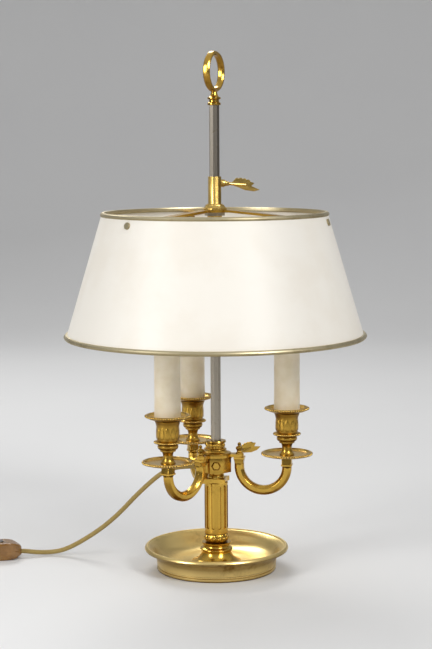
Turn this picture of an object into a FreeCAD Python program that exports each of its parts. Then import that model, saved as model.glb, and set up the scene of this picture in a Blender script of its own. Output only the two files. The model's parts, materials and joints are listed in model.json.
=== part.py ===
import FreeCAD, Part
import math
import os
import re

import Sketcher
from FreeCAD import Placement, Rotation, Vector

# Bouillotte table lamp: a three-branch candle lamp with a painted metal shade.
# Millimetres, +Z up, origin on the table under the stem, front of the lamp toward -Y.

doc = FreeCAD.newDocument("bouillotte_lamp")
sheet = doc.addObject("Spreadsheet::Sheet", "sizes")

SIZES = {
    "stem_flats": 12.0,
    "stem_turn": 10.0,
    "stem_top": 584.0,
    "slide_gap": 0.06,
    "dish_radius": 91.2,
    "dish_height": 30.3,
    "dish_floor": 8.0,
    "foot_radius": 75.4,
    "column_radius": 14.8,
    "column_bottom": 46.0,
    "column_top": 111.0,
    "flute_width": 4.8,
    "abacus_side": 29.0,
    "neck_top": 125.2,
    "hub_flats": 38.0,
    "hub_bottom": 125.3,
    "plate_bottom": 144.6,
    "plate_top": 148.4,
    "drum_top": 164.8,
    "drum_radius": 12.8,
    "arm_reach": 90.4,
    "root_reach": 30.0,
    "arm_turn": -10.4,
    "arm_side": 11.6,
    "arm_chamfer": 3.2,
    "root_bottom": 136.4,
    "arm_level": 133.0,
    "pan_radius": 30.5,
    "pan_bottom": 145.4,
    "cup_bottom": 149.0,
    "cup_top": 202.0,
    "cup_radius": 14.6,
    "bobeche_radius": 26.4,
    "candle_bottom": 205.2,
    "candle_top": 318.0,
    "candle_radius": 16.0,
    "candle_wall": 1.8,
    "shade_bottom": 295.8,
    "shade_top": 452.6,
    "shade_low_radius": 189.5,
    "shade_high_radius": 142.5,
    "sheet_wall": 1.0,
    "rim_height": 5.6,
    "spider_width": 14.0,
    "spider_turn": -16.0,
    "sleeve_flats": 15.6,
    "sleeve_bottom": 446.0,
    "sleeve_top": 496.3,
    "hub_key_turn": 45.0,
    "hub_key_rise": 11.0,
    "hub_key_level": 134.6,
    "shade_key_turn": 10.0,
    "shade_key_rise": -5.0,
    "shade_key_level": 488.7,
    "ring_radius": 25.1,
    "ring_thick": 5.2,
    "ring_level": 625.0,
    "cord_thick": 6.0,
}
for row, (alias, value) in enumerate(SIZES.items(), 1):
    sheet.set(f"A{row}", alias)
    sheet.set(f"B{row}", str(value))
    sheet.setAlias(f"B{row}", alias)
doc.recompute()


def cells(text):
    """An expression with each size named as its cell of the sheet."""
    return re.sub(r"\b[a-z]+(_[a-z]+)+\b", r"sizes.\g<0>", str(text))


def size(text):
    """The number that an expression of sizes stands for."""
    value = sheet.evalExpression(re.sub("sizes[.]", "", cells(text)))
    return float(getattr(value, "Value", value))


def place(piece, x=0, y=0, z=0, turn=0.0, rise=0.0):
    """Stand a piece at x, y, z, turned about Z and then raised from the level."""
    spin = Rotation(Vector(0, 0, 1), turn).multiply(Rotation(Vector(0, 1, 0), -rise))
    piece.Placement = Placement(Vector(size(x), size(y), size(z)), spin)
    for axis, text in (("x", x), ("y", y), ("z", z)):
        if text != 0:
            piece.setExpression(f"Placement.Base.{axis}", cells(text))


def new_body(label):
    body = doc.addObject("PartDesign::Body", label)
    body.Label = label
    return body


def new_sketch(body, plane, lift=None):
    """A sketch on one of the body's own origin planes, raised along its normal."""
    sketch = body.newObject("Sketcher::SketchObject", body.Name + "_sketch")
    support = [item for item in body.Origin.OriginFeatures if item.Role == plane]
    sketch.AttachmentSupport = [(support[0], "")]
    sketch.MapMode = "FlatFace"
    if lift is not None:
        sketch.setExpression("AttachmentOffset.Base.z", cells(lift))
    return sketch


def loop(sketch, corners, arcs=None):
    """Draw a closed outline through corners; arcs maps a side to its signed radius."""
    arcs = arcs or {}
    spots = [Vector(size(x), size(y), 0) for x, y in corners]
    first = sketch.GeometryCount
    rules = []
    bound = []
    ends = []
    for side, start in enumerate(spots):
        stop = spots[(side + 1) % len(spots)]
        if side in arcs:
            radius = size(arcs[side])
            half = (stop - start) * 0.5
            drop = math.sqrt(max(radius * radius - half.Length ** 2, 0))
            centre = start + half - Vector(-half.y, half.x, 0).normalize() * math.copysign(drop, radius)
            first_end, last_end = (stop, start) if radius > 0 else (start, stop)
            begin = math.atan2(first_end.y - centre.y, first_end.x - centre.x)
            finish = math.atan2(last_end.y - centre.y, last_end.x - centre.x)
            if finish < begin:
                finish += 2 * math.pi
            ring = Part.Circle(centre, Vector(0, 0, 1), abs(radius))
            sketch.addGeometry(Part.ArcOfCircle(ring, begin, finish))
            ends.append((2, 1) if radius > 0 else (1, 2))
        else:
            sketch.addGeometry(Part.LineSegment(start, stop))
            ends.append((1, 2))
    for side, (x, y) in enumerate(corners):
        following = (side + 1) % len(spots)
        here = first + side
        rules.append(Sketcher.Constraint("Coincident", here, ends[side][1],
                                         first + following, ends[following][0]))
        for kind, text, axis in (("DistanceX", x, -2), ("DistanceY", y, -1)):
            if size(text) == 0:
                rules.append(Sketcher.Constraint("PointOnObject", here, ends[side][0], axis))
            else:
                rules.append(Sketcher.Constraint(kind, -1, 1, here, ends[side][0], size(text)))
                bound.append((len(rules) - 1, text))
        if side in arcs:
            rules.append(Sketcher.Constraint("Radius", here, abs(size(arcs[side]))))
            bound.append((len(rules) - 1, f"abs({arcs[side]})"))
    start = sketch.ConstraintCount
    sketch.addConstraint(rules)
    for index, text in bound:
        sketch.setExpression(f"Constraints[{start + index}]", cells(text))


def regular(sketch, flats, count, turn=0.0):
    """A regular polygon given across its flats; turn points one flat's normal."""
    corners = []
    for index in range(count):
        angle = turn + (index + 0.5) * 360.0 / count
        reach = f"({flats}) / 2 / cos({180.0 / count})"
        corners.append((f"{reach} * cos({angle})", f"{reach} * sin({angle})"))
    loop(sketch, corners)


def circle(sketch, radius, x=0, y=0):
    sketch.addGeometry(Part.Circle(Vector(size(x), size(y), 0), Vector(0, 0, 1), size(radius)))
    here = sketch.GeometryCount - 1
    rules = [Sketcher.Constraint("Radius", here, size(radius))]
    bound = [(0, radius)]
    for kind, text, axis in (("DistanceX", x, -2), ("DistanceY", y, -1)):
        if size(text) == 0:
            rules.append(Sketcher.Constraint("PointOnObject", here, 3, axis))
        else:
            rules.append(Sketcher.Constraint(kind, -1, 1, here, 3, size(text)))
            bound.append((len(rules) - 1, text))
    start = sketch.ConstraintCount
    sketch.addConstraint(rules)
    for index, text in bound:
        sketch.setExpression(f"Constraints[{start + index}]", cells(text))


def turned(body, corners, arcs=None, kind="Revolution", plane="XZ_Plane", axis="V_Axis", angle=360):
    """Revolve an outline of radius and height pairs about the body's upright axis."""
    sketch = new_sketch(body, plane)
    loop(sketch, corners, arcs)
    feature = body.newObject("PartDesign::" + kind, body.Name + "_turned")
    feature.Profile = sketch
    feature.ReferenceAxis = (sketch, [axis])
    feature.Angle = angle
    return feature


def padded(body, sketch, length, both=False, taper=0):
    feature = body.newObject("PartDesign::Pad", body.Name + "_pad")
    feature.Profile = sketch
    feature.setExpression("Length", cells(length))
    feature.Length = size(length)
    if both:
        feature.Midplane = True
    feature.TaperAngle = taper
    return feature


def cut_through(body, sketch):
    feature = body.newObject("PartDesign::Pocket", body.Name + "_bore")
    feature.Profile = sketch
    feature.Type = 1
    feature.Midplane = True
    return feature


def spread(body, feature, count):
    """Repeat a feature evenly about the body's upright axis."""
    pattern = body.newObject("PartDesign::PolarPattern", body.Name + "_pattern")
    pattern.Originals = [feature]
    upright = [item for item in body.Origin.OriginFeatures if item.Role == "Z_Axis"]
    pattern.Axis = (upright[0], [""])
    pattern.Angle = 360
    pattern.Occurrences = count
    body.Tip = pattern
    return pattern


def lathe(label, corners, arcs=None, **where):
    body = new_body(label)
    turned(body, corners, arcs)
    place(body, **where)
    return body


def rod(label, radius, length, level, turn, rise):
    """A cylinder from the stem's axis outward, as the arrow keys point."""
    piece = doc.addObject("Part::Cylinder", label)
    piece.Radius = radius
    piece.Height = length
    spin = Rotation(Vector(0, 0, 1), turn).multiply(Rotation(Vector(0, 1, 0), 90 - rise))
    piece.Placement = Placement(Vector(0, 0, size(level)), spin)
    return piece


def key_bored(label, blank, level, turn, rise, length):
    """The blank with its screw hole for an arrow key."""
    cut = doc.addObject("Part::Cut", label)
    cut.Label = label
    cut.Base = blank
    cut.Tool = rod(label + "_key_hole", 2.0, length, level, turn, rise)
    return cut


pieces = []

# Weighted dish: a shallow well with a rolled lip on a turned foot ring, hollow below
pieces.append(lathe("base_dish", [
    (6, 5), (60, 5), (66, 1.2), (70, 0), ("foot_radius - 1.4", 0), ("foot_radius", 1.4),
    ("foot_radius", 4), ("foot_radius - 1.6", 5), ("foot_radius - 1.6", 6.4), ("foot_radius", 7.4),
    ("foot_radius + 9", 16), ("dish_radius - 3.5", "dish_height - 6.6"),
    ("dish_radius - 3", "dish_height - 6"),
    ("dish_radius", "dish_height - 3"), ("dish_radius - 3", "dish_height"),
    ("dish_radius - 6.5", "dish_height - 2.4"), ("foot_radius + 4", 16), ("foot_radius - 12", 9.4),
    ("dish_radius - 50", "dish_floor + 0.6"), ("dish_radius - 54", "dish_floor"),
    (6, "dish_floor"),
], {9: -14, 12: -3.2, 13: -3.2, 14: 6, 16: 22}))

# Fluted column on its bell foot, banded ring, and a capital with hollow sides
pieces.append(lathe("column_foot", [
    (4.9, "dish_floor"), (31, "dish_floor"), (31, 10), (28, 11.2), (18.4, 21.5), (18.4, 23.2),
    (20.2, 24.6), (20.2, 26.6), (17.6, 28), (16.4, 31), (18.2, 32.4), (18.2, 34.3), (4.9, 34.3),
], {3: 18, 5: -1.3, 6: -1.2, 8: 3}))
pieces.append(lathe("column_ring", [
    (4.9, 34.3), ("column_radius - 2.2", 34.3), ("column_radius - 2.2", "column_bottom"),
    (4.9, "column_bottom"),
], {1: -8.33}))

column = new_body("column_shaft")
disc = new_sketch(column, "XY_Plane")
circle(disc, "column_radius")
circle(disc, 4.9)
padded(column, disc, "column_top - column_bottom")
slot = new_sketch(column, "XZ_Plane")
loop(slot, [
    ("-flute_width / 2", 8.7), ("-flute_width / 2", "column_top - column_bottom - 5"),
    ("flute_width / 2", "column_top - column_bottom - 5"), ("flute_width / 2", 8.7),
], {1: "flute_width / 2 + 0.01", 3: "flute_width / 2 + 0.01"})
slot.setExpression("AttachmentOffset.Base.z", cells("column_radius - 1.5"))
flute = column.newObject("PartDesign::Pocket", "column_shaft_flute")
flute.Profile = slot
flute.Length = 5
flute.Reversed = True
spread(column, flute, 12)
place(column, z="column_bottom", turn=15.0)
pieces.append(column)

capital = new_body("column_capital")
square = new_sketch(capital, "XY_Plane")
half = "abacus_side / 2"
corner = [(half, f"-{half}"), (half, half), (f"-{half}", half), (f"-{half}", f"-{half}")]
loop(square, corner, {side: "abacus_side * 1.7" for side in range(4)})
circle(square, "stem_flats / 2 / cos(22.5) + 0.05")
padded(capital, square, 5.8)
turned(capital, [
    (6.54, 1), (6.54, "neck_top - column_top"), (9.2, "neck_top - column_top"),
    (9.2, "neck_top - column_top - 3"), (10.6, 5.6), (10.6, 1),
], {3: 8})
place(capital, z="column_top", turn=SIZES["arm_turn"])
pieces.append(capital)

# Octagonal steel stem with a threaded tail, its washer and nut inside the hollow foot
stem = new_body("stem")
octagon = new_sketch(stem, "XY_Plane")
regular(octagon, "stem_flats", 8, 10)
padded(stem, octagon, "stem_top - column_top")
turned(stem, [(0, "1.2 - column_top"), (4.6, "1.2 - column_top"), (4.6, 0.5), (0, 0.5)])
place(stem, z="column_top")
pieces.append(stem)
pieces.append(lathe("base_washer", [(4.8, 3.4), (14, 3.4), (14, 5), (4.8, 5)]))
nut = new_body("base_nut")
flats = new_sketch(nut, "XY_Plane")
regular(flats, 14, 6)
circle(flats, 4.65)
padded(nut, flats, 1.9)
place(nut, z=1.45)
pieces.append(nut)

# Carrying ring on its turned neck
handle = new_body("ring_handle")
turned(handle, [
    (0, 0), (8.2, 0), (8.2, 2.6), (6.2, 4), (6.2, 6.4), (8.3, 7.6), (8.3, 9.4), (4.6, 12.5),
    (3.4, 16.6), (0, 16.6),
], {6: 5})
hoop = new_sketch(handle, "XY_Plane", "ring_level - stem_top")
loop(hoop, [
    ("ring_radius - ring_thick", -2.4), ("ring_radius - ring_thick + 1.6", -4.3),
    ("ring_radius - 1.6", -4.3), ("ring_radius", -2.4), ("ring_radius", 2.4),
    ("ring_radius - 1.6", 4.3), ("ring_radius - ring_thick + 1.6", 4.3),
    ("ring_radius - ring_thick", 2.4),
])
ring = handle.newObject("PartDesign::Revolution", "ring_handle_hoop")
ring.Profile = hoop
ring.ReferenceAxis = (hoop, ["V_Axis"])
ring.Angle = 360
place(handle, z="stem_top", turn=66.0)
pieces.append(handle)

# Sliding hub: an octagonal block, its lugged plate, and the domed drum above
hub = new_body("hub_blank")
octagon = new_sketch(hub, "XY_Plane")
regular(octagon, "hub_flats", 8)
regular(octagon, "stem_flats + 2 * slide_gap", 8, SIZES["stem_turn"])
padded(hub, octagon, "plate_bottom - hub_bottom")
place(hub, z="hub_bottom")
pieces.append(key_bored("hub_body", hub, "hub_key_level", SIZES["hub_key_turn"],
                        SIZES["hub_key_rise"], 30.0))

plate = new_body("hub_plate")
disc = new_sketch(plate, "XY_Plane")
circle(disc, 20.4)
padded(plate, disc, "plate_top - plate_bottom - 0.8")
circle_top = new_sketch(plate, "XY_Plane")
circle(circle_top, 19.6)
padded(plate, circle_top, "plate_top - plate_bottom")
lug = new_sketch(plate, "XY_Plane")
loop(lug, [
    (12, -6), ("root_reach", -6), ("root_reach", 6), (12, 6),
], {1: -6.01})
tab = padded(plate, lug, "plate_top - plate_bottom")
spread(plate, tab, 3)
bore = new_sketch(plate, "XY_Plane")
regular(bore, "stem_flats + 2 * slide_gap", 8, SIZES["stem_turn"] - SIZES["arm_turn"])
cut_through(plate, bore)
place(plate, z="plate_bottom", turn=SIZES["arm_turn"])
pieces.append(plate)

cap = new_body("hub_cap")
turned(cap, [
    (0, "plate_top"), (18.8, "plate_top"), (18.8, "plate_top + 1"), (17.8, "plate_top + 1.4"),
    (12.6, "plate_top + 4.2"), ("drum_radius", "plate_top + 4.4"), ("drum_radius", "plate_top + 6"),
    ("drum_radius - 2.2", "plate_top + 7"), ("drum_radius - 2.2", "drum_top - 3.8"),
    ("drum_radius - 0.4", "drum_top - 2.6"), ("drum_radius", "drum_top - 1.6"),
    ("drum_radius - 0.6", "drum_top"), (0, "drum_top"),
], {1: -0.6, 3: 7, 5: -0.9})
bore = new_sketch(cap, "XY_Plane")
regular(bore, "stem_flats + 2 * slide_gap", 8, SIZES["stem_turn"])
cut_through(cap, bore)
place(cap)
pieces.append(cap)

# Faceted bosses on the front and back faces of the hub, as a group of like pieces
bosses = []
for name, outward in (("front", -1), ("back", 1)):
    boss = new_body("hub_boss_" + name)
    outline = new_sketch(boss, "XY_Plane")
    regular(outline, 10.6, 6)
    padded(boss, outline, 1.8, taper=-42)
    place(boss, 0, f"{outward} * hub_flats / 2", "hub_bottom + 9.6", -90 * outward, 90)
    bosses.append(boss)
group = doc.addObject("Part::Compound", "hub_medallions")
group.Label = "hub_medallions"
group.Links = bosses
pieces.append(group)

# Bush where the cord leaves the hub
gland = new_body("cord_gland")
turned(gland, [(0, 0), (5.6, 0), (5.6, 2), (4.6, 3), (4.6, 7), (3.8, 8), (0, 8)])
place(gland, "-hub_flats / 2", 0, "hub_bottom + 6", 0, 90)
pieces.append(gland)


# Arrow keys: a threaded shaft with a feather, its upper vane scalloped and its tips spread
def arrow_key(label, tip, collar, feather, level, turn, rise):
    body = new_body(label)
    turned(body, [
        (tip, 0), (tip + 0.6, 1.5), (tip + 1.2, 1.95), (collar, 1.95), (collar, 3.4),
        (collar + 2.4, 3.4), (collar + 3.6, 2.6), (collar + 5, 2.9), (collar + 6, 1.9),
        (feather + 18, 1.9), (feather + 21, 0),
    ], plane="XZ_Plane", axis="H_Axis")
    blade = new_sketch(body, "XZ_Plane")
    upper = [(0, 1.2), (3.6, 5.6), (8.6, 7.2), (13.6, 7.2), (18.6, 6.4), (23.4, 4.9), (28.8, 3.2)]
    lower = [(25.2, -0.6), (36.4, -4.6), (29, -7.0), (18, -6.4), (9, -3.6), (0, -1.2)]
    corners = [(feather + x, z) for x, z in upper + lower]
    loop(blade, corners, {side: 3.0 for side in range(1, 5)})
    padded(body, blade, 2.4, both=True)
    place(body, 0, 0, level, turn, rise)
    return body


pieces.append(arrow_key("hub_key", 6.9, 20.4, 45.0, "hub_key_level",
                        SIZES["hub_key_turn"], SIZES["hub_key_rise"]))
pieces.append(arrow_key("shade_key", 6.5, 12.6, 21.4, "shade_key_level",
                        SIZES["shade_key_turn"], SIZES["shade_key_rise"]))


# Three branches: a chamfered half-round arm, then the turned pieces stacked on its end
def branch(name, turn):
    reach_x = f"arm_reach * cos({turn})"
    reach_y = f"arm_reach * sin({turn})"
    arm = new_body("arm_" + name)
    side = "arm_side / 2"
    near = "(arm_reach - root_reach) / 2"
    section = new_sketch(arm, "XY_Plane")
    edge = f"({side} - arm_chamfer)"
    octagon = [(f"-{side}", f"-{edge}"), (f"-{edge}", f"-{side}"), (edge, f"-{side}"), (side, f"-{edge}"),
               (side, edge), (edge, side), (f"-{edge}", side), (f"-{side}", edge)]
    loop(section, [(f"-{near} + {x}", y) for x, y in octagon])
    bend = arm.newObject("PartDesign::Revolution", f"arm_{name}_bend")
    bend.Profile = section
    bend.ReferenceAxis = (section, ["V_Axis"])
    bend.Angle = 180
    bend.Reversed = True
    straight = new_sketch(arm, "XY_Plane")
    loop(straight, [(f"-{near} + {x}", y) for x, y in octagon])
    padded(arm, straight, "root_bottom - arm_level + 0.5")
    block = new_sketch(arm, "XY_Plane", "root_bottom - arm_level")
    loop(block, [(f"-{near} - 5.2", "-5.2"), (f"-{near} + 5.2", "-5.2"),
                 (f"-{near} + 5.2", "5.2"), (f"-{near} - 5.2", "5.2")])
    padded(arm, block, 5.6, taper=9)
    lip = new_sketch(arm, "XY_Plane", "root_bottom - arm_level + 5.4")
    loop(lip, [(f"-{near} - 6.5", "-6.5"), (f"-{near} + 6.5", "-6.5"),
               (f"-{near} + 6.5", "6.5"), (f"-{near} - 6.5", "6.5")])
    padded(arm, lip, "plate_bottom - root_bottom - 5.4")
    middle = "(arm_reach + root_reach) / 2"
    place(arm, f"{middle} * cos({turn})", f"{middle} * sin({turn})", "arm_level", turn)
    pieces.append(arm)

    root = {"x": f"root_reach * cos({turn})", "y": f"root_reach * sin({turn})"}
    pieces.append(lathe("finial_" + name, [
        (0, 0), (4.6, 0), (4.6, 1.2), (3.2, 2.2), (3.2, 4), (4.6, 6.4), (4.3, 8.4), (2, 9.8),
        (1.8, 10.4), (2.4, 11.6), (2.2, 13), (1.2, 14.1), (0, 14.5),
    ], z="plate_top", **root))

    end = {"x": reach_x, "y": reach_y}
    ferrule = new_body("ferrule_" + name)
    for lift, half, tall in ((0, 5.0, 1.8), (1.6, 6.7, 2.0), (3.4, 6.0, 0)):
        square = new_sketch(ferrule, "XY_Plane", lift)
        loop(square, [(-half, -half), (half, -half), (half, half), (-half, half)])
        padded(ferrule, square, tall or f"pan_bottom - arm_level - {lift}")
    place(ferrule, z="arm_level", turn=turn, **end)
    pieces.append(ferrule)

    pieces.append(lathe("drip_pan_" + name, [
        (0, 0), (8.4, 0), (9.6, 1.4), ("pan_radius - 5", 2.2), ("pan_radius", 4),
        ("pan_radius", 6.6), ("pan_radius - 1.2", 6.6), ("pan_radius - 3.4", 4.2), (10, 3.6), (0, 3.6),
    ], {3: -9, 6: 5}, z="pan_bottom", **end))
    pieces.append(lathe("candle_cup_" + name, [
        (0, 0), (9.2, 0), (9.2, 1.1), (6.4, 6.4), (6.1, 10), (7.4, 14.4), (9.6, 15.2), (9.8, 17),
        (11.9, 18.2), (12.8, 21.8), (11.6, 24), (15.8, 25), (15.8, 27.6), (13.2, 29),
        ("cup_radius - 0.8", 33), ("cup_radius - 0.9", 42), ("cup_radius", 49),
        ("cup_radius + 1.2", "cup_top - cup_bottom - 0.8"),
        ("cup_radius + 0.8", "cup_top - cup_bottom"), (0, "cup_top - cup_bottom"),
    ], {2: 9, 4: 14, 8: -5, 11: -1.4, 15: 30}, z="cup_bottom", **end))
    pieces.append(lathe("bobeche_" + name, [
        (5.2, 0), (13, 0), ("bobeche_radius - 5", 2), ("bobeche_radius", 4.8),
        ("bobeche_radius", 7.2), ("bobeche_radius - 1.2", 7.2), ("bobeche_radius - 3.6", 4.2),
        (19, 3.2), (5.2, 3.2),
    ], {2: -10, 5: 6}, z="cup_top", **end))
    pieces.append(lathe("candle_" + name, [
        ("candle_radius - candle_wall", 0), ("candle_radius + 0.5", 0),
        ("candle_radius", 22), ("candle_radius", "candle_top - candle_bottom - 1"),
        ("candle_radius - 1", "candle_top - candle_bottom"),
        ("candle_radius - candle_wall", "candle_top - candle_bottom"),
    ], z="candle_bottom", **end))
    pieces.append(lathe("lampholder_" + name, [
        (3.6, 0), (5, 0), (5, 62), (13.4, 66), (13.4, 114), (12, 115.6), (7.4, 115.6), (7.4, 84),
        (3.6, 80),
    ], z="cup_top", **end))
    pieces.append(lathe("bulb_" + name, [
        (3, 0), (6.4, 1), (7.1, 5), (7.1, 25), (9, 31), (17, 50), (17.3, 58), (12, 76), (4.6, 92),
        (2.4, 96), (0, 97), (0, 95.8), (2, 94.8), (3.8, 91.2), (11, 75.2), (16.2, 58), (15.9, 50.6),
        (8, 31.6), (6, 25), (6, 6), (3, 5),
    ], {5: -12, 15: 12}, z="cup_top + 88", **end))


for order, name in enumerate(("right", "rear", "left")):
    branch(name, SIZES["arm_turn"] + order * 120.0)

# Painted sheet shade with rolled rims
slope = "(shade_low_radius - shade_high_radius) / (shade_top - shade_bottom)"
pieces.append(lathe("shade_cone", [
    ("shade_low_radius - 3.6 - sheet_wall", "shade_bottom + 2.4"),
    ("shade_low_radius - 3.6", "shade_bottom + 2.4"),
    ("shade_high_radius - 2", "shade_top - 2.4"),
    ("shade_high_radius - 2 - sheet_wall", "shade_top - 2.4"),
]))


def rim(label, radius, level):
    return lathe(label, [
        (f"{radius} - 5.6", f"{level} + 1.4"), (f"{radius} - 5.2", level),
        (f"{radius} - 2", level), (f"{radius} - 0.6", f"{level} + 1.2"),
        (radius, f"{level} + rim_height / 2"), (f"{radius} - 0.9", f"{level} + rim_height - 1.2"),
        (f"{radius} - 2.2", f"{level} + rim_height"), (f"{radius} - 5.2", f"{level} + rim_height"),
        (f"{radius} - 5.6", f"{level} + rim_height - 1.4"),
    ])


pieces.append(rim("shade_bottom_rim", "shade_low_radius", "shade_bottom"))
pieces.append(rim("shade_top_rim", "shade_high_radius", "shade_top - rim_height"))

# Three-armed spider, cranked down from the sleeve to tabs inside the cone
spider = new_body("shade_spider")
disc = new_sketch(spider, "XY_Plane", "sleeve_bottom + 6")
circle(disc, 16)
padded(spider, disc, 3)
bar = new_sketch(spider, "XZ_Plane")
inner = "shade_high_radius - 2 - sheet_wall"
loop(bar, [
    (11, "sleeve_bottom + 9"), (11, "sleeve_bottom + 6"), (20, "sleeve_bottom + 6"),
    (118, "shade_top - rim_height - 4.4"), (f"{inner} - 2.6", "shade_top - rim_height - 4.4"),
    (f"{inner} - 0.4", "shade_top - rim_height - 13"),
    (f"{inner} + 2.4", "shade_top - rim_height - 13"),
    (f"{inner} + 0.2", "shade_top - rim_height - 1.4"), (118, "shade_top - rim_height - 1.4"),
    (20, "sleeve_bottom + 9"),
])
arm = padded(spider, bar, "spider_width", both=True)
spread(spider, arm, 3)
bore = new_sketch(spider, "XY_Plane")
circle(bore, 9.3)
cut_through(spider, bore)
place(spider, turn=SIZES["spider_turn"])
pieces.append(spider)

# Octagonal sleeve with a moulded foot; its threaded spigot passes the spider
sleeve = new_body("sleeve_blank")
tall = new_sketch(sleeve, "XY_Plane")
regular(tall, "sleeve_flats", 8, 10)
padded(sleeve, tall, "sleeve_top - sleeve_bottom - 9.1")
for lift, across, tall, taper in ((0, 28.4, 2.2, 0), (2, 27.4, 3.2, -38), (5, 22.4, 1.3, 0), (6.1, 18.6, 1.3, 0)):
    step = new_sketch(sleeve, "XY_Plane", lift)
    regular(step, across, 8, 10)
    padded(sleeve, step, tall, taper=taper)
turned(sleeve, [(0, -9), (9.2, -9), (9.2, 0.2), (0, 0.2)])
bore = new_sketch(sleeve, "XY_Plane")
regular(bore, "stem_flats + 2 * slide_gap", 8, SIZES["stem_turn"])
cut_through(sleeve, bore)
place(sleeve, z="sleeve_bottom + 9.1")
boss = doc.addObject("Part::Cut", "sleeve_boss")
boss.Base = rod("sleeve_boss_blank", 4.8, 12.4, "shade_key_level", SIZES["shade_key_turn"],
                SIZES["shade_key_rise"])
boss.Tool = rod("sleeve_boss_core", 6.0, 7.0, "shade_key_level", SIZES["shade_key_turn"],
                SIZES["shade_key_rise"])
joined = doc.addObject("Part::Fuse", "sleeve_with_boss")
joined.Base = sleeve
joined.Tool = boss
pieces.append(key_bored("shade_sleeve", joined, "shade_key_level", SIZES["shade_key_turn"],
                        SIZES["shade_key_rise"], 30.0))

nut = new_body("sleeve_nut")
flats = new_sketch(nut, "XY_Plane")
regular(flats, 22, 6, 20)
circle(flats, 9.3)
padded(nut, flats, 4)
place(nut, z="sleeve_bottom + 1.9")
pieces.append(nut)

# Screws that hold the shade to the spider's tabs
screws = []
tilt = math.degrees(math.atan(size(slope)))
for order in range(3):
    turn = SIZES["spider_turn"] + order * 120.0
    reach = size("shade_high_radius - 2 - sheet_wall") - 3.6 + 2.6
    head = doc.addObject("Part::Cylinder", f"shade_screw_{order}")
    head.Radius = 2.0
    head.Height = 9.0
    cap_disc = doc.addObject("Part::Cylinder", f"shade_screw_head_{order}")
    cap_disc.Radius = 4.2
    cap_disc.Height = 2.0
    cap_disc.Placement = Placement(Vector(0, 0, 7.2), Rotation())
    both = doc.addObject("Part::Fuse", f"shade_screw_whole_{order}")
    both.Base = head
    both.Tool = cap_disc
    spin = Rotation(Vector(0, 0, 1), turn).multiply(Rotation(Vector(0, 1, 0), 90 - tilt))
    spot = Vector(reach * math.cos(math.radians(turn)), reach * math.sin(math.radians(turn)),
                  size("shade_top - rim_height") - 8.0)
    both.Placement = Placement(spot - spin.multVec(Vector(0, 0, 2)), spin)
    screws.append(both)
group = doc.addObject("Part::Compound", "shade_screws")
group.Label = "shade_screws"
group.Links = screws
pieces.append(group)

# Cord: straight runs joined by tangent arcs, from the hub to a switch and on to a coil
TO_SWITCH = [
    (-27.3, 0.0, 131.3), (-43.0, 0.6, 131.0), (-58.0, 5.0, 127.0), (-72.0, 12.5, 118.5),
    (-88.0, 22.5, 103.0), (-106.0, 33.0, 84.0), (-122.0, 40.0, 65.6), (-138.2, 46.0, 49.6),
    (-154.5, 52.0, 36.0), (-171.0, 58.0, 24.2), (-187.0, 63.0, 14.0), (-203.0, 66.0, 6.6),
    (-219.0, 66.5, 4.2), (-236.0, 62.0, 5.4), (-255.0, 57.0, 9.0),
]
TO_COIL = [
    (-318.0, 43.0, 9.0), (-333.0, 38.8, 6.6), (-350.0, 33.4, 4.8), (-368.0, 29.0, 4.4),
    (-385.0, 26.4, 4.6), (-401.4, 25.6, 5.0),
]


def tube(label, route):
    """A round tube along straight runs, each corner an arc as large as its runs allow."""
    points = [Vector(*point) for point in route]
    edges = []
    start = points[0]
    for before, here, after in zip(points, points[1:], points[2:]):
        back = (before - here).normalize()
        ahead = (after - here).normalize()
        turn = math.pi - back.getAngle(ahead)
        reach = 0.45 * min((before - here).Length, (after - here).Length)
        first = here + back * reach
        last = here + ahead * reach
        radius = reach / math.tan(turn / 2)
        centre = here + (back + ahead).normalize() * (radius / math.cos(turn / 2))
        middle = centre + (here - centre).normalize() * radius
        edges.append(Part.LineSegment(start, first).toShape())
        edges.append(Part.Arc(first, middle, last).toShape())
        start = last
        print(f"{label} turn {math.degrees(turn):.1f} radius {radius:.1f}")
    edges.append(Part.LineSegment(start, points[-1]).toShape())
    path = Part.Wire(edges)
    radius = size("cord_thick") / 2
    section = Part.Wire(Part.makeCircle(radius, points[0], points[1] - points[0]))
    solid = path.makePipeShell([section], True, True)
    expected = math.pi * radius ** 2 * path.Length
    print(f"{label} length {path.Length:.1f} volume ratio {solid.Volume / expected:.4f}")
    piece = doc.addObject("Part::Feature", label)
    piece.Label = label
    piece.Shape = solid
    return piece


pieces.append(tube("cord_to_switch", TO_SWITCH))
pieces.append(tube("cord_to_coil", TO_COIL))

# Coil of the spare cord, a flat ring with rounded edges lying on the table
pieces.append(lathe("cord_coil", [
    (27, 3), (30, 0), (39, 0), (42, 3), (42, 15), (39, 18), (30, 18), (27, 15),
], x=-425.6, y=60.0))

# In-line switch: two shells, a rocker and its screws
direction = Vector(*TO_COIL[0]) - Vector(*TO_SWITCH[-1])
switch_turn = math.degrees(math.atan2(direction.y, direction.x))
middle = (Vector(*TO_COIL[0]) + Vector(*TO_SWITCH[-1])) * 0.5
length = direction.Length


def shell(label, low, tall, rocker):
    body = new_body(label)
    outline = new_sketch(body, "XY_Plane", low)
    far = length / 2
    loop(outline, [(-far + 6, -14.4), (far - 6, -14.4), (far, -7), (far, 7),
                   (far - 6, 14.4), (-far + 6, 14.4), (-far, 7), (-far, -7)])
    padded(body, outline, tall)
    if rocker:
        hole = new_sketch(body, "XY_Plane", low + tall - 7)
        loop(hole, [(-9.3, -5.3), (9.3, -5.3), (9.3, 5.3), (-9.3, 5.3)])
        well = body.newObject("PartDesign::Pocket", label + "_well")
        well.Profile = hole
        well.Length = 8
        well.Reversed = True
    place(body, middle.x, middle.y, 0, switch_turn)
    return body


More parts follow.
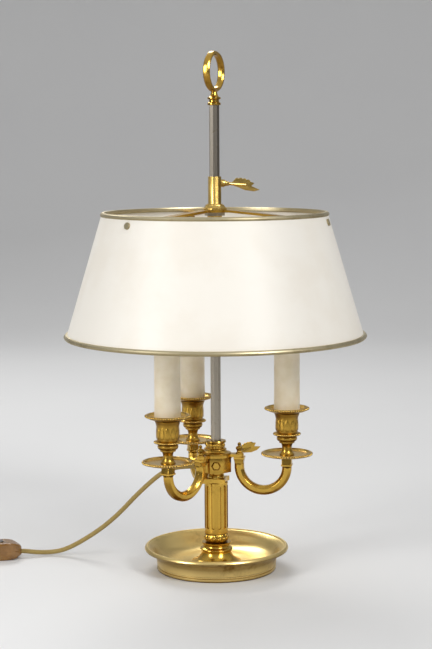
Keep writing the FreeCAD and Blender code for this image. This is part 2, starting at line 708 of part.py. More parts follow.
pieces.append(shell("switch_lower", 0.0, 11.4, False))
pieces.append(shell("switch_upper", 11.5, 11.5, True))
rocker = new_body("switch_rocker")
wedge = new_sketch(rocker, "XZ_Plane")
loop(wedge, [(-8.2, 1.6), (-4, 0), (4, 0), (8.2, 1.6), (8.2, 6), (0, 4.8), (-8.2, 6.8)])
padded(rocker, wedge, 10, both=True)
place(rocker, middle.x, middle.y, 17.6, switch_turn)
pieces.append(rocker)

# Plug with two pins, resting beside the coil
PLUG_SPOT = (-397.1, 100.1, 0.2)
PLUG_TURN = 10.0
plug = new_body("plug_body")
outline = new_sketch(plug, "XY_Plane")
loop(outline, [(0, -9), (0, 9), (30, 16), (36, 16), (36, -16), (30, -16)])
padded(plug, outline, 14)
place(plug, *PLUG_SPOT, PLUG_TURN)
pieces.append(plug)
pins = []
for side in (-1, 1):
    pin = doc.addObject("Part::Cylinder", f"plug_pin_{side + 1}")
    pin.Radius = 2.4
    pin.Height = 19
    spin = Rotation(Vector(0, 0, 1), PLUG_TURN).multiply(Rotation(Vector(0, 1, 0), 90))
    spot = Rotation(Vector(0, 0, 1), PLUG_TURN).multVec(Vector(36, side * 9.5, 7))
    pin.Placement = Placement(Vector(*PLUG_SPOT) + spot, spin)
    pins.append(pin)
group = doc.addObject("Part::Compound", "plug_pins")
group.Label = "plug_pins"
group.Links = pins
pieces.append(group)

doc.recompute()
for item in doc.Objects:
    if "Invalid" in item.State or "Error" in item.State:
        raise SystemExit(f"{item.Name} failed: {item.State} {item.getStatusString()}")
os.makedirs("parts", exist_ok=True)
for piece in pieces:
    shape = piece.Shape
    if shape.isNull() or not shape.isValid() or shape.Volume <= 0:
        raise SystemExit(f"{piece.Label} has no valid shape")
    shape.exportStep(f"parts/{piece.Label}.step")
    box = shape.BoundBox
    print(f"{piece.Label} {shape.Volume:.0f} {len(shape.Solids)} "
          f"{box.XMin:.1f} {box.XMax:.1f} {box.YMin:.1f} {box.YMax:.1f} {box.ZMin:.1f} {box.ZMax:.1f}")
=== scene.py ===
import json
import math

import bpy
from mathutils import Matrix, Vector


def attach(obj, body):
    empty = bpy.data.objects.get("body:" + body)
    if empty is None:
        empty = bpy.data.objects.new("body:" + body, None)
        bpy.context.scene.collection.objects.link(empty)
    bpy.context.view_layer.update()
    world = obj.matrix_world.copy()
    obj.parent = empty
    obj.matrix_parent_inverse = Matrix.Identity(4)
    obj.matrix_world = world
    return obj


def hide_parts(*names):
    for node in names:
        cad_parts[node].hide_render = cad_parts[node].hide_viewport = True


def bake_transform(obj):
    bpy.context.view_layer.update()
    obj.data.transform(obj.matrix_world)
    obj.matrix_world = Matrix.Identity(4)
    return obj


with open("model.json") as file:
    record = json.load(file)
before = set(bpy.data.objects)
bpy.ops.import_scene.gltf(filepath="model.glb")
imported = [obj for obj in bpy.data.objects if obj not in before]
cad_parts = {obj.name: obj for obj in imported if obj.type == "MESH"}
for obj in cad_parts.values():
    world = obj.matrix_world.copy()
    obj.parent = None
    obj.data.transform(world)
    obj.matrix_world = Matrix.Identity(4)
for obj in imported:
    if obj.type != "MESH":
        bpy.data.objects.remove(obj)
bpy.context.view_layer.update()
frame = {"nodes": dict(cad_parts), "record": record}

bpy.context.scene.view_settings.view_transform = "Standard"

# Camera at the photograph's place: turned a little down and rolled a third of a degree
CAMERA_SPOT = (0.0009, -2.0573, 0.5452)
CAMERA_DOWN = 0.1131
CAMERA_ROLL = 0.0054
camera_data = bpy.data.cameras.new("camera")
camera_data.lens = 1653.2 / 649 * 36
camera = bpy.data.objects.new("camera", camera_data)
bpy.context.scene.collection.objects.link(camera)
camera.rotation_euler = (Matrix.Rotation(math.pi / 2 - CAMERA_DOWN, 3, "X")
                         @ Matrix.Rotation(-CAMERA_ROLL, 3, "Z")).to_euler()
camera.location = CAMERA_SPOT
bpy.context.scene.camera = camera

# Driving sizes, as the solids have them, in metres
ARM_REACH = 0.0904
ARM_TURN = math.radians(-10.4)
ARMS = {"right": ARM_TURN, "rear": ARM_TURN + math.radians(120), "left": ARM_TURN + math.radians(240)}
PAN_LEVEL = 0.1454
CUP_LEVEL = 0.149
BOBECHE_LEVEL = 0.202
CORD_THICK = 0.006
SWITCH_TURN = math.atan2(-14, -63)
SWITCH_SPOT = Vector((-0.2865, 0.05, 0))
COIL_SPOT = Vector((-0.4256, 0.06, 0))
COIL_RADIUS = 0.0345


# Shader nodes
class Wire:
    """A socket that adds Math nodes when it is used in an expression."""

    def __init__(self, finish, socket):
        self.finish = finish
        self.socket = socket

    def maths(self, operation, first, second):
        return self.finish.node("ShaderNodeMath", {"operation": operation}, {0: first, 1: second})

    def __add__(self, other):
        return self.maths("ADD", self, other)

    def __radd__(self, other):
        return self.maths("ADD", other, self)

    def __sub__(self, other):
        return self.maths("SUBTRACT", self, other)

    def __rsub__(self, other):
        return self.maths("SUBTRACT", other, self)

    def __mul__(self, other):
        return self.maths("MULTIPLY", self, other)

    def __rmul__(self, other):
        return self.maths("MULTIPLY", other, self)


class Finish:
    """One material and its nodes."""

    def __init__(self, name):
        self.material = bpy.data.materials.new(name)
        self.material.use_nodes = True
        self.tree = self.material.node_tree
        self.tree.nodes.clear()
        self.end = self.tree.nodes.new("ShaderNodeOutputMaterial")
        self.place = self.node("ShaderNodeTexCoord", {}, {}, "Object")

    def node(self, kind, settings, inputs, output=0):
        made = self.tree.nodes.new(kind)
        for key, value in settings.items():
            setattr(made, key, value)
        for key, value in inputs.items():
            if isinstance(value, Wire):
                self.tree.links.new(value.socket, made.inputs[key])
            else:
                made.inputs[key].default_value = value
        return Wire(self, made.outputs[output])

    def noise(self, scale, detail=3.0, roughness=0.55, place=None):
        return self.node("ShaderNodeTexNoise", {}, {
            "Vector": place or self.place, "Scale": scale, "Detail": detail, "Roughness": roughness})

    def grey(self, value, low, high):
        """A soft step from 0 at low to 1 at high."""
        return self.node("ShaderNodeMapRange", {"interpolation_type": "SMOOTHSTEP"}, {
            "Value": value, "From Min": low, "From Max": high})

    def blend(self, factor, first, second):
        return self.node("ShaderNodeMix", {"data_type": "RGBA"}, {0: factor, 6: first, 7: second}, 2)

    def bump(self, height, strength, distance):
        return self.node("ShaderNodeBump", {}, {
            "Height": height, "Strength": strength, "Distance": distance})

    def surface(self, **inputs):
        named = {key.replace("_", " "): value for key, value in inputs.items()}
        shader = self.node("ShaderNodeBsdfPrincipled", {}, named)
        self.tree.links.new(shader.socket, self.end.inputs["Surface"])
        return self.material


def colour(red, green, blue):
    return (red, green, blue, 1)


def gilt(name, bright, dark, rough, patina):
    """Old gilt brass: satin, brown in soft patches, with painted shade darkening its recesses, inside angles
    and the faces that look down.
    """
    finish = Finish(name)
    broad = finish.noise(34, 3, 0.5)
    small = finish.noise(260, 3, 0.5)
    facing = finish.node("ShaderNodeNewGeometry", {}, {}, "Normal")
    upward = finish.node("ShaderNodeSeparateXYZ", {}, {0: facing}, "Z")
    # Painted shade: faces that look down are tinted darker.
    painted_shade_below = finish.grey(0.0 - upward, -0.06, 0.32)
    # Painted shade: ambient occlusion darkens recesses, inside angles and gaps between parts.
    open_air = finish.node("ShaderNodeAmbientOcclusion", {"samples": 8}, {"Distance": 0.0035}, "AO")
    painted_corner_shade = finish.grey(1.0 - open_air, 0.25, 0.85)
    # The mix of random brown patina patches with the painted shade on down-facing faces and in recesses.
    patina_and_painted_shade = finish.grey(broad * 0.75 + small * 0.25, 0.5, 0.5 + patina) * 0.45 + painted_shade_below * 0.7 + painted_corner_shade * 0.9
    tint = finish.blend(patina_and_painted_shade, colour(*bright), colour(*dark))
    return finish.surface(
        Base_Color=tint, Metallic=1.0, Roughness=rough + patina_and_painted_shade * 0.14 + small * 0.06,
        Normal=finish.bump(small, 0.05, 0.0002))


def rod_steel(name):
    """Drawn steel with faint lengthwise lines and a few dull spots."""
    finish = Finish(name)
    drawn = finish.node("ShaderNodeMapping", {}, {"Vector": finish.place, "Scale": (900, 900, 14)})
    lines = finish.noise(1, 3, 0.6, drawn)
    dull = finish.grey(finish.noise(260, 3, 0.5), 0.62, 0.8)
    tint = finish.blend(dull, colour(0.38, 0.34, 0.28), colour(0.24, 0.2, 0.15))
    return finish.surface(
        Base_Color=tint, Metallic=1.0, Roughness=0.24 + dull * 0.12 + lines * 0.1,
        Normal=finish.bump(lines, 0.15, 0.0002))


def shade_paint(name):
    """Brushed cream paint on sheet metal, a little aged."""
    finish = Finish(name)
    cloud = finish.noise(14, 4, 0.55)
    speck = finish.noise(900, 2, 0.5)
    tint = finish.blend(finish.grey(cloud, 0.4, 0.68), colour(0.87, 0.83, 0.75),
                        colour(0.84, 0.79, 0.7))
    return finish.surface(
        Base_Color=tint, Roughness=0.42 + cloud * 0.14, Coat_Weight=0.08, Coat_Roughness=0.3,
        Normal=finish.bump(speck, 0.12, 0.0003))


def candle_wax(name):
    """Milky sleeve with the faint unevenness of poured wax."""
    finish = Finish(name)
    cloud = finish.noise(60, 3, 0.5)
    tint = finish.blend(finish.grey(cloud, 0.38, 0.7), colour(0.84, 0.75, 0.58),
                        colour(0.78, 0.68, 0.49))
    return finish.surface(
        Base_Color=tint, Roughness=0.38 + cloud * 0.1, Subsurface_Weight=0.12,
        Subsurface_Radius=(0.006, 0.004, 0.002), Normal=finish.bump(cloud, 0.15, 0.001))


def moulded(name, base, worn, rough):
    """Moulded plastic with a fine orange-peel skin."""
    finish = Finish(name)
    skin = finish.noise(1500, 2, 0.5)
    cloud = finish.noise(90, 3, 0.5)
    tint = finish.blend(finish.grey(cloud, 0.42, 0.72), colour(*base), colour(*worn))
    return finish.surface(Base_Color=tint, Roughness=rough + cloud * 0.12, Coat_Weight=0.4,
                          Normal=finish.bump(skin, 0.15, 0.0002))


def cord_braid(name):
    """Braided golden cover: two sets of crossing plaits from the tube's own map."""
    finish = Finish(name)
    along = finish.node("ShaderNodeUVMap", {"uv_map": "UVMap"}, {})
    parts = finish.node("ShaderNodeSeparateXYZ", {}, {0: along})
    around = finish.node("ShaderNodeSeparateXYZ", {}, {0: along}, "Y")
    right = finish.node("ShaderNodeMath", {"operation": "SINE"}, {0: (parts * 2600 + around * 37.7)})
    left = finish.node("ShaderNodeMath", {"operation": "SINE"}, {0: (parts * 2600 - around * 37.7)})
    plait = (right * left) * 0.5 + 0.5
    cloud = finish.noise(150, 3, 0.6)
    tint = finish.blend(plait * 0.75 + cloud * 0.3, colour(0.2, 0.13, 0.025), colour(0.5, 0.36, 0.1))
    return finish.surface(Base_Color=tint, Roughness=0.48, Sheen_Weight=0.25, Sheen_Roughness=0.4,
                          Normal=finish.bump(plait, 0.6, 0.0005))


def clear_glass(name):
    finish = Finish(name)
    ripple = finish.noise(80, 2, 0.5)
    return finish.surface(
        Base_Color=colour(0.97, 0.97, 0.95), Roughness=0.02, Transmission_Weight=1.0, IOR=1.45,
        Normal=finish.bump(ripple, 0.05, 0.0005))


GILT = gilt("antique_gilt", (0.68, 0.42, 0.075), (0.17, 0.075, 0.008), 0.17, 0.26)
GILT_BRIGHT = gilt("rubbed_gilt", (0.8, 0.55, 0.16), (0.2, 0.1, 0.014), 0.19, 0.34)
GILT_CHASED = gilt("chased_gilt", (0.58, 0.35, 0.06), (0.14, 0.06, 0.007), 0.25, 0.2)
# Painted light: a paler copy of the gilt for the dish, its brighter tint standing for the bright reflection
# on the dish.
GILT_DISH_PAINTED_LIGHT = gilt("dish_gilt_painted_light", (0.9, 0.68, 0.27), (0.17, 0.085, 0.012), 0.27, 0.3)
# Painted shade: a dark gilt for the thin bands that darken the gaps behind the rim beads.
GILT_PAINTED_SHADE = gilt("painted_shade_gilt", (0.2, 0.11, 0.02), (0.07, 0.03, 0.004), 0.4, 0.2)
RIM_BRASS = gilt("rim_brass", (0.6, 0.52, 0.33), (0.3, 0.24, 0.12), 0.34, 0.2)
STEEL = rod_steel("stem_steel")
PAINT = shade_paint("cream_shade_paint")
WAX = candle_wax("milky_candle")
DARK_PLASTIC = moulded("dark_socket_plastic", (0.03, 0.027, 0.025), (0.05, 0.045, 0.04), 0.4)
BROWN_PLASTIC = moulded("golden_brown_plastic", (0.27, 0.13, 0.028), (0.2, 0.09, 0.018), 0.1)
BRAID = cord_braid("golden_braid")
GLASS = clear_glass("bulb_glass")
PIN_METAL = gilt("pin_brass", (0.83, 0.7, 0.44), (0.6, 0.48, 0.26), 0.2, 0.5)

NODE_FINISH = {
    "gilt_brass": GILT, "steel": STEEL, "shade_paint": PAINT, "candle_sleeve": WAX,
    "lampholder": DARK_PLASTIC, "bulb_glass": GLASS, "cord_cover": BRAID,
    "switch_shell": BROWN_PLASTIC, "plug_shell": BROWN_PLASTIC, "pin_brass": PIN_METAL,
}
for part in frame["record"]["subparts"]:
    node = frame["nodes"][part["node"]]
    node.data.materials.clear()
    node.data.materials.append(NODE_FINISH[part["material_slot"]])
for name in ("shade_sleeve", "shade_key"):
    frame["nodes"][name].data.materials[0] = GILT_BRIGHT
for name in ("shade_bottom_rim", "shade_top_rim", "shade_screws"):
    frame["nodes"][name].data.materials[0] = RIM_BRASS
for name in ARMS:
    frame["nodes"]["drip_pan_" + name].data.materials[0] = GILT_BRIGHT
    frame["nodes"]["bobeche_" + name].data.materials[0] = GILT_BRIGHT
    frame["nodes"]["candle_cup_" + name].data.materials[0] = GILT_CHASED


# Modelling helpers
def pick(*things):
    """Select only these objects; the first is active."""
    bpy.ops.object.select_all(action="DESELECT")
    for thing in things:
        thing.select_set(True)
    bpy.context.view_layer.objects.active = things[0]


def settle(piece, finish, body, smooth=40):
    """Apply the piece's place, shade it, and let it ride on its body."""
    pick(piece)
    bpy.ops.object.transform_apply(location=True, rotation=True, scale=True)
    bpy.ops.object.shade_smooth_by_angle(angle=math.radians(smooth))
    piece.data.materials.clear()
    piece.data.materials.append(finish)
    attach(piece, body)
    return piece


def copies(piece, name, places):
    """One mesh object from copies of a piece at each place; the first model is used up."""
    made = []
    for place in places:
        twin = piece.copy()
        twin.data = piece.data.copy()
        twin.data.transform(place)
        bpy.context.scene.collection.objects.link(twin)
        made.append(twin)
    bpy.data.objects.remove(piece)
    pick(*made)
    bpy.ops.object.join()
    joined = bpy.context.view_layer.objects.active
    joined.name = name
    return joined


def rounded(node_name, width, body, bevelled=None):
    """A node's shape with its sharp edges rounded; bevelled picks edges by their middle."""
    node = frame["nodes"][node_name]
    piece = node.copy()
    piece.data = node.data.copy()
    piece.name = node_name + "_rounded"
    bpy.context.scene.collection.objects.link(piece)
    pick(piece)
    bpy.ops.object.mode_set(mode="EDIT")
    bpy.ops.mesh.select_mode(type="EDGE")
    bpy.ops.mesh.select_all(action="SELECT")
    bpy.ops.mesh.remove_doubles(threshold=0.000002)
    bpy.ops.mesh.select_all(action="DESELECT")
    bpy.ops.mesh.edges_select_sharp(sharpness=math.radians(25))
    bpy.ops.object.mode_set(mode="OBJECT")
    for edge in piece.data.edges:
        first, last = (piece.data.vertices[index].co for index in edge.vertices)
        if bevelled and not bevelled((first + last) / 2):
            edge.select = False
    bpy.ops.object.mode_set(mode="EDIT")
    bpy.ops.mesh.bevel(offset=width, segments=3, affect="EDGES", clamp_overlap=True)
    bpy.ops.object.mode_set(mode="OBJECT")
    settle(piece, node.data.materials[0], body, 30)
    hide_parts(node_name)
    return piece


def spun(name, outline, finish, body, centre=(0, 0)):
    """A closed outline of radius and height pairs in millimetres, spun about an upright line."""
    mesh = bpy.data.meshes.new(name)
    mesh.from_pydata([(radius / 1000, 0, level / 1000) for radius, level in outline],
                     [(index, (index + 1) % len(outline)) for index in range(len(outline))], [])
    piece = bpy.data.objects.new(name, mesh)
    bpy.context.scene.collection.objects.link(piece)
    pick(piece)
    bpy.ops.object.mode_set(mode="EDIT")
    bpy.ops.mesh.select_all(action="SELECT")
    bpy.ops.mesh.spin(steps=128, angle=2 * math.pi, center=(0, 0, 0), axis=(0, 0, 1))
    bpy.ops.mesh.select_all(action="SELECT")
    bpy.ops.mesh.remove_doubles(threshold=0.00001)
    bpy.ops.mesh.normals_make_consistent(inside=False)
    bpy.ops.object.mode_set(mode="OBJECT")
    piece.location = (*centre, 0)
    return settle(piece, finish, body)


def bead(size):
    """A cast bead: a ball with its hidden side cut away."""
    bpy.ops.object.select_all(action="DESELECT")
    bpy.ops.mesh.primitive_uv_sphere_add(segments=12, ring_count=8, radius=size / 2)
    ball = bpy.context.active_object
    bpy.ops.object.mode_set(mode="EDIT")
    bpy.ops.mesh.select_all(action="SELECT")
    bpy.ops.mesh.bisect(plane_co=(0, 0, -size * 0.3), plane_no=(0, 0, 1), clear_inner=True, use_fill=True)
    bpy.ops.object.mode_set(mode="OBJECT")
    return ball


def leaf(length, width, thick, taper):
    """A raised leaf or lobe lying on its back: a flattened ball, cut flat below and tapered."""
    bpy.ops.object.select_all(action="DESELECT")
    bpy.ops.mesh.primitive_uv_sphere_add(segments=14, ring_count=8, radius=0.5)
    shape = bpy.context.active_object
    shape.scale = (length, width, thick * 2)
    bpy.ops.object.transform_apply(location=False, rotation=False, scale=True)
    bpy.ops.object.mode_set(mode="EDIT")
    bpy.ops.mesh.select_all(action="SELECT")
    bpy.ops.mesh.bisect(plane_co=(0, 0, -thick * 0.3), plane_no=(0, 0, 1), clear_inner=True, use_fill=True)
    bpy.ops.object.mode_set(mode="OBJECT")
    bend = shape.modifiers.new("taper", "SIMPLE_DEFORM")
    bend.deform_method = "TAPER"
    bend.deform_axis = "X"
    bend.factor = taper
    bpy.ops.object.modifier_apply(modifier="taper")
    return shape


def around(count, radius, level, centre=(0, 0), lean=0.0, start=0.0, spin=0.0):
    """Places evenly round a circle, each turned outward, leaned from the upright and spun."""
    places = []
    for index in range(count):
        turn = start + index * 2 * math.pi / count
        places.append(
            Matrix.Translation((centre[0], centre[1], level)) @ Matrix.Rotation(turn, 4, "Z")
            @ Matrix.Translation((radius, 0, 0)) @ Matrix.Rotation(lean, 4, "Y")
            @ Matrix.Rotation(spin, 4, "Z"))
    return places


def bead_row(name, count, size, radius, level, centre, finish):
    row = copies(bead(size), name, around(count, radius, level, centre, math.pi / 2))
    return settle(row, finish, "branches", 60)


# Switch and plug, with the rounded edges of moulded shells and the switch's drawn-in ends
SWITCH_FRAME = Matrix.Translation(SWITCH_SPOT) @ Matrix.Rotation(SWITCH_TURN, 4, "Z")
SWITCH_AXIS_LEVEL = 0.0092
SWITCH_CUTS = 7
SWITCH_CUT_STEP = 0.0042
NOSE_START = 0.0115
NOSE_LENGTH = 0.0205
NOSE_PINCH = 0.45
OPENING_HALF_LENGTH = 0.0098
OPENING_HALF_WIDTH = 0.0058


def in_switch(spot):
    """A point as the switch sees it, along and across its length."""
    return SWITCH_FRAME.inverted() @ spot


def outside_opening(spot):
    """Whether an edge of the upper shell is on its outside, away from the rocker's opening."""
    seen = in_switch(spot)
    beside = abs(seen.x) > OPENING_HALF_LENGTH or abs(seen.y) > OPENING_HALF_WIDTH
    return spot.z > 0.0125 and beside


def noses(piece):
    """Draw both ends of a switch shell in toward its cord."""
    pick(piece)
    bpy.ops.object.mode_set(mode="EDIT")
    along = SWITCH_FRAME.to_3x3() @ Vector((1, 0, 0))
    for step in range(-SWITCH_CUTS, SWITCH_CUTS + 1):
        bpy.ops.mesh.select_all(action="SELECT")
        bpy.ops.mesh.bisect(plane_co=SWITCH_SPOT + along * step * SWITCH_CUT_STEP, plane_no=along)
    bpy.ops.object.mode_set(mode="OBJECT")
    for vertex in piece.data.vertices:
        spot = in_switch(vertex.co)
        reach = max(0.0, abs(spot.x) - NOSE_START) / NOSE_LENGTH
        pinch = 1 - NOSE_PINCH * reach ** 2
        vertex.co = SWITCH_FRAME @ Vector((spot.x, spot.y * pinch,
                                           SWITCH_AXIS_LEVEL + (spot.z - SWITCH_AXIS_LEVEL) * pinch))
    piece.data.update()


noses(rounded("switch_lower", 0.004, "stand", lambda spot: spot.z < 0.0105))
noses(rounded("switch_upper", 0.004, "stand", outside_opening))
rounded("switch_rocker", 0.0006, "rocker")
rounded("plug_body", 0.0032, "stand")

# Cord: one smooth line from the hub through the switch to the coil and the plug
ROUTE = [
    (-27.3, 0.0, 131.3), (-43.0, 0.6, 131.0), (-58.0, 5.0, 127.0), (-72.0, 12.5, 118.5),
    (-88.0, 22.5, 103.0), (-106.0, 33.0, 84.0), (-122.0, 40.0, 65.6), (-138.2, 46.0, 49.6),
    (-154.5, 52.0, 36.0), (-171.0, 58.0, 24.2), (-187.0, 63.0, 14.0), (-203.0, 66.0, 6.6),
    (-219.0, 66.5, 4.2), (-236.0, 62.0, 5.4), (-255.0, 57.0, 9.0), (-286.5, 50.0, 9.2),
    (-318.0, 43.0, 9.0), (-333.0, 38.8, 6.6), (-350.0, 33.4, 4.8), (-368.0, 29.0, 4.4),
    (-385.0, 26.4, 4.0), (-401.4, 25.6, 3.4),
]
COIL_TURNS = 6.47
COIL_POINTS = 104
LAYERS = 3
LAYER_RISE = 0.0058
COIL_LEVEL = 0.0031
COIL_SWAY = 0.0031
PLUG_SPOT = Vector((-0.3971, 0.1001, 0.0072))
COIL_EXIT = Vector((-0.4316, 0.094, 0.0147))


def coil_line():
    """Turns wound clockwise from the side nearest the front, beside and on each other."""
    spots = []
    for step in range(1, COIL_POINTS):
        share = step / COIL_POINTS
        turns = share * COIL_TURNS
        angle = math.radians(-90) - turns * 2 * math.pi
        layer = share * (LAYERS - 1)
        sway = COIL_SWAY * math.cos(math.pi * turns)
        radius = COIL_RADIUS + sway * (1 - 0.3 * math.sin(turns))
        spots.append(COIL_SPOT + Vector((radius * math.cos(angle), radius * math.sin(angle),
                                         COIL_LEVEL + layer * LAYER_RISE)))
    return spots


line_points = [Vector(spot) / 1000 for spot in ROUTE] + coil_line()
line_points += [COIL_EXIT, COIL_EXIT.lerp(PLUG_SPOT, 0.34) + Vector((0, 0, 0.0013)),
                COIL_EXIT.lerp(PLUG_SPOT, 0.69), PLUG_SPOT, PLUG_SPOT + Vector((0.002, 0.0004, 0))]
line_data = bpy.data.curves.new("cord_line", "CURVE")
line_data.dimensions = "3D"
spline = line_data.splines.new("NURBS")
spline.points.add(len(line_points) - 1)
for point, spot in zip(spline.points, line_points):
    point.co = (*spot, 1)
spline.order_u = 3
spline.use_endpoint_u = True
spline.resolution_u = 5
line = bpy.data.objects.new("cord_line", line_data)
bpy.context.scene.collection.objects.link(line)
bpy.context.view_layer.update()
line_mesh = bpy.data.meshes.new_from_object(line.evaluated_get(bpy.context.evaluated_depsgraph_get()))
CORD_PATH = [vertex.co.copy() for vertex in line_mesh.vertices]
bpy.data.objects.remove(line)


def tube_along(name, path, radius, sides):
    """A closed round tube along a path, mapped by its length and its round."""
    vertices = []
    faces = []
    marks = []
    run = 0.0
    normal = Vector((0, 0, 1))
    for index, spot in enumerate(path):
        ahead = (path[min(index + 1, len(path) - 1)] - path[max(index - 1, 0)]).normalized()
        normal = (normal - ahead * normal.dot(ahead)).normalized()
        across = ahead.cross(normal)
        if index:
            run += (spot - path[index - 1]).length
        marks.append(run)
        for side in range(sides):
            angle = 2 * math.pi * side / sides
            vertices.append(spot + (normal * math.cos(angle) + across * math.sin(angle)) * radius)
        if index:
            for side in range(sides):
                low = (index - 1) * sides
                high = index * sides
                after = (side + 1) % sides
                faces.append((low + side, low + after, high + after, high + side))
    faces.append(tuple(reversed(range(sides))))
    faces.append(tuple((len(path) - 1) * sides + side for side in range(sides)))
    mesh = bpy.data.meshes.new(name)
    mesh.from_pydata(vertices, [], faces)
    layer = mesh.uv_layers.new(name="UVMap")
    for face in mesh.polygons:
        seam = any(mesh.loops[loop].vertex_index % sides == sides - 1 for loop in face.loop_indices)
        for loop in face.loop_indices:
            vertex = mesh.loops[loop].vertex_index
            side = vertex % sides
            share = (sides if seam and side == 0 else side) / sides
            layer.data[loop].uv = (marks[vertex // sides], share)
    mesh.validate()
    tube = bpy.data.objects.new(name, mesh)
    bpy.context.scene.collection.objects.link(tube)
    return tube


cord = tube_along("cord", CORD_PATH, CORD_THICK / 2, 14)
pick(cord)
bpy.ops.object.shade_smooth_by_angle(angle=math.radians(60))
cord.data.materials.append(BRAID)
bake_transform(cord)
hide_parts("cord_to_switch", "cord_to_coil", "cord_coil")

# Beaded rims on dark bands of painted shade behind the beads, a beaded ring and a calyx of lobes on each
# branch
RIM_BEADS = (
    ("pan", 60, 0.0029, 0.031, PAN_LEVEL + 0.0049),
    ("bobeche", 54, 0.0027, 0.0269, BOBECHE_LEVEL + 0.0056),
    ("cup", 38, 0.0025, 0.0162, CUP_LEVEL + 0.0263),
)
# Painted shade: dark bands behind the pan and bobeche beads, so the gaps between beads read as shadow.
RIM_SHADE_BANDS = (("pan", 30.5, 149.3, 151.4), ("bobeche", 26.4, 206.7, 208.9))
for arm_name, turn in ARMS.items():
    spot = (ARM_REACH * math.cos(turn), ARM_REACH * math.sin(turn))
    for rim, count, size, radius, level in RIM_BEADS:
        bead_row(f"{rim}_beads_{arm_name}", count, size, radius, level, spot, GILT_BRIGHT)
    for rim, reach, low, high in RIM_SHADE_BANDS:
        band = [(reach - 0.6, low), (reach + 0.15, low), (reach + 0.15, high), (reach - 0.6, high)]
        spun(f"{rim}_band_{arm_name}", band, GILT_PAINTED_SHADE, "branches", spot)
    calyx = copies(leaf(0.0165, 0.0062, 0.0007, 0.7), f"cup_calyx_{arm_name}",
                   around(12, 0.0137, CUP_LEVEL + 0.0385, spot, math.pi / 2))
    settle(calyx, GILT_CHASED, "branches", 60)

# Dish with its deep cove under the lip, as the photograph shows it
DISH_OUTLINE = [
    (6, 5), (60, 5), (66, 1.2), (70, 0), (74, 0), (75, 0.5), (75.4, 1.4), (75.4, 4), (74.2, 4.8), (74.2, 6),
    (75.6, 7), (75.8, 10), (76.3, 14), (77.2, 17.6), (78.8, 20.6), (81.4, 22.8), (84.6, 23.9), (88.6, 24.4),
    (90.3, 25.3), (91.2, 27.2), (90.6, 29.1), (88.8, 30.3), (87.2, 30.1), (86.2, 29), (85.2, 28.9),
    (84.2, 27.9), (81.2, 26.2), (78.4, 22.8), (75.2, 18), (71, 13.8), (65, 10.8), (58, 9.3), (49, 8.8),
    (41.2, 8.6), (39.4, 8), (6, 8),
]
# The dish wears the paler gilt whose brightness is painted light.
dish = spun("dish", DISH_OUTLINE, GILT_DISH_PAINTED_LIGHT, "stand")
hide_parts("base_dish")

# Rounded edges where hands and polishing have softened them
SOFTENED = {"ring_handle": 0.0011, "hub_key": 0.0004, "hub_body": 0.0006, "shade_key": 0.0004,
            "shade_sleeve": 0.0004}
for name, width in SOFTENED.items():
    home = next(body for body, nodes in frame["record"]["behaviour"]["bodies"].items() if name in nodes)
    rounded(name, width, home)
for arm_name in ARMS:
    rounded("arm_" + arm_name, 0.0006, "branches")
    rounded("ferrule_" + arm_name, 0.0005, "branches")


# Laurel ring on the column, and an oval band round the drum of the hub
LAUREL = ((0.0423, 0.0137, 1.25, 0.55, "upper"), (0.038, 0.0137, 1.9, -0.55, "lower"))
for level, radius, lean, spin, side in LAUREL:
    laurel = copies(leaf(0.0085, 0.0042, 0.0015, -0.9), f"laurel_{side}",
                    around(14, radius, level, lean=lean, spin=spin))
    settle(laurel, GILT, "stand", 60)
ovals = copies(leaf(0.0052, 0.0026, 0.0012, 0.0), "drum_ovals",
               around(20, 0.0105, 0.1583, lean=math.pi / 2))
settle(ovals, GILT, "branches", 60)

# Floor that rises behind into a backdrop, and lights
STAGE_WIDE = 9.0
STAGE_FRONT = -5.0
STAGE_BACK = 2.4
STAGE_RISE = 1.6
STAGE_TOP = 6.0
STAGE_STEPS = 12
STAGE_LINE = [(STAGE_FRONT, 0.0), (STAGE_BACK, 0.0)]
for step in range(1, STAGE_STEPS + 1):
    lift = math.radians(90 * step / STAGE_STEPS)
    STAGE_LINE.append((STAGE_BACK + STAGE_RISE * math.sin(lift), STAGE_RISE - STAGE_RISE * math.cos(lift)))
STAGE_LINE.append((STAGE_BACK + STAGE_RISE, STAGE_TOP))
stage_mesh = bpy.data.meshes.new("floor")
stage_mesh.from_pydata(
    [(side * STAGE_WIDE / 2, y, z) for y, z in STAGE_LINE for side in (-1, 1)], [],
    [(2 * row, 2 * row + 1, 2 * row + 3, 2 * row + 2) for row in range(len(STAGE_LINE) - 1)])
floor = bpy.data.objects.new("floor", stage_mesh)
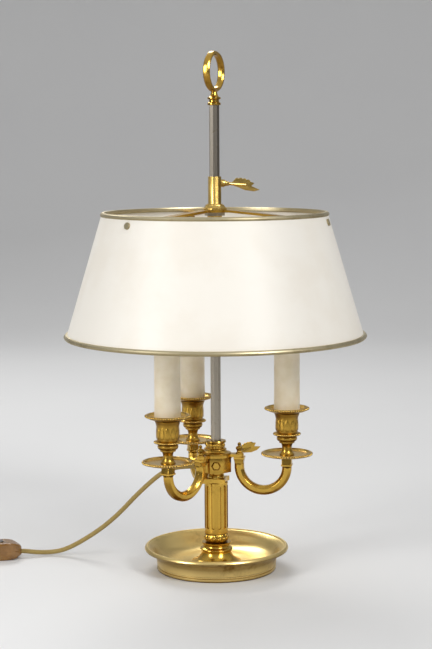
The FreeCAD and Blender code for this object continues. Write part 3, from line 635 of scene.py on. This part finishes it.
bpy.context.scene.collection.objects.link(floor)
pick(floor)
bpy.ops.object.shade_smooth_by_angle(angle=math.radians(30))
floor_finish = Finish("pale_floor")
cloud = floor_finish.noise(2, 2, 0.5)
floor.data.materials.append(floor_finish.surface(
    Base_Color=floor_finish.blend(cloud, colour(0.7, 0.7, 0.7), colour(0.74, 0.74, 0.73)), Roughness=0.6))

# Soft light from all round, stronger from above
SIDE_LIGHT = (0.1, 0.1, 0.103)
TOP_LIGHT = (0.62, 0.62, 0.63)
world = bpy.data.worlds.new("studio")
bpy.context.scene.world = world
world.use_nodes = True
sky = world.node_tree.nodes.new("ShaderNodeTexGradient")
sky_place = world.node_tree.nodes.new("ShaderNodeTexCoord")
sky_turn = world.node_tree.nodes.new("ShaderNodeMapping")
sky_turn.inputs["Rotation"].default_value = (0, math.pi / 2, 0)
sky_mix = world.node_tree.nodes.new("ShaderNodeMix")
sky_mix.data_type = "RGBA"
sky_mix.inputs[6].default_value = colour(*SIDE_LIGHT)
sky_mix.inputs[7].default_value = colour(*TOP_LIGHT)
for source, target in ((sky_place.outputs["Generated"], sky_turn.inputs["Vector"]),
                       (sky_turn.outputs[0], sky.inputs["Vector"]),
                       (sky.outputs["Fac"], sky_mix.inputs[0]),
                       (sky_mix.outputs[2], world.node_tree.nodes["Background"].inputs["Color"])):
    world.node_tree.links.new(source, target)


def soft_light(name, spot, aim, size, power):
    data = bpy.data.lights.new(name, "AREA")
    data.shape = "RECTANGLE"
    data.size, data.size_y = size
    data.energy = power
    lamp = bpy.data.objects.new(name, data)
    bpy.context.scene.collection.objects.link(lamp)
    lamp.location = spot
    lamp.rotation_euler = (Vector(aim) - Vector(spot)).to_track_quat("-Z", "Y").to_euler()


soft_light("key", (1.5, -1.9, 1.9), (0, 0, 0.3), (0.8, 1.2), 40)
soft_light("fill", (-1.9, -1.4, 1.1), (0, 0, 0.3), (0.6, 1.4), 28)
soft_light("back", (-0.6, 1.8, 1.9), (0, 0, 0.35), (1.4, 0.8), 24)
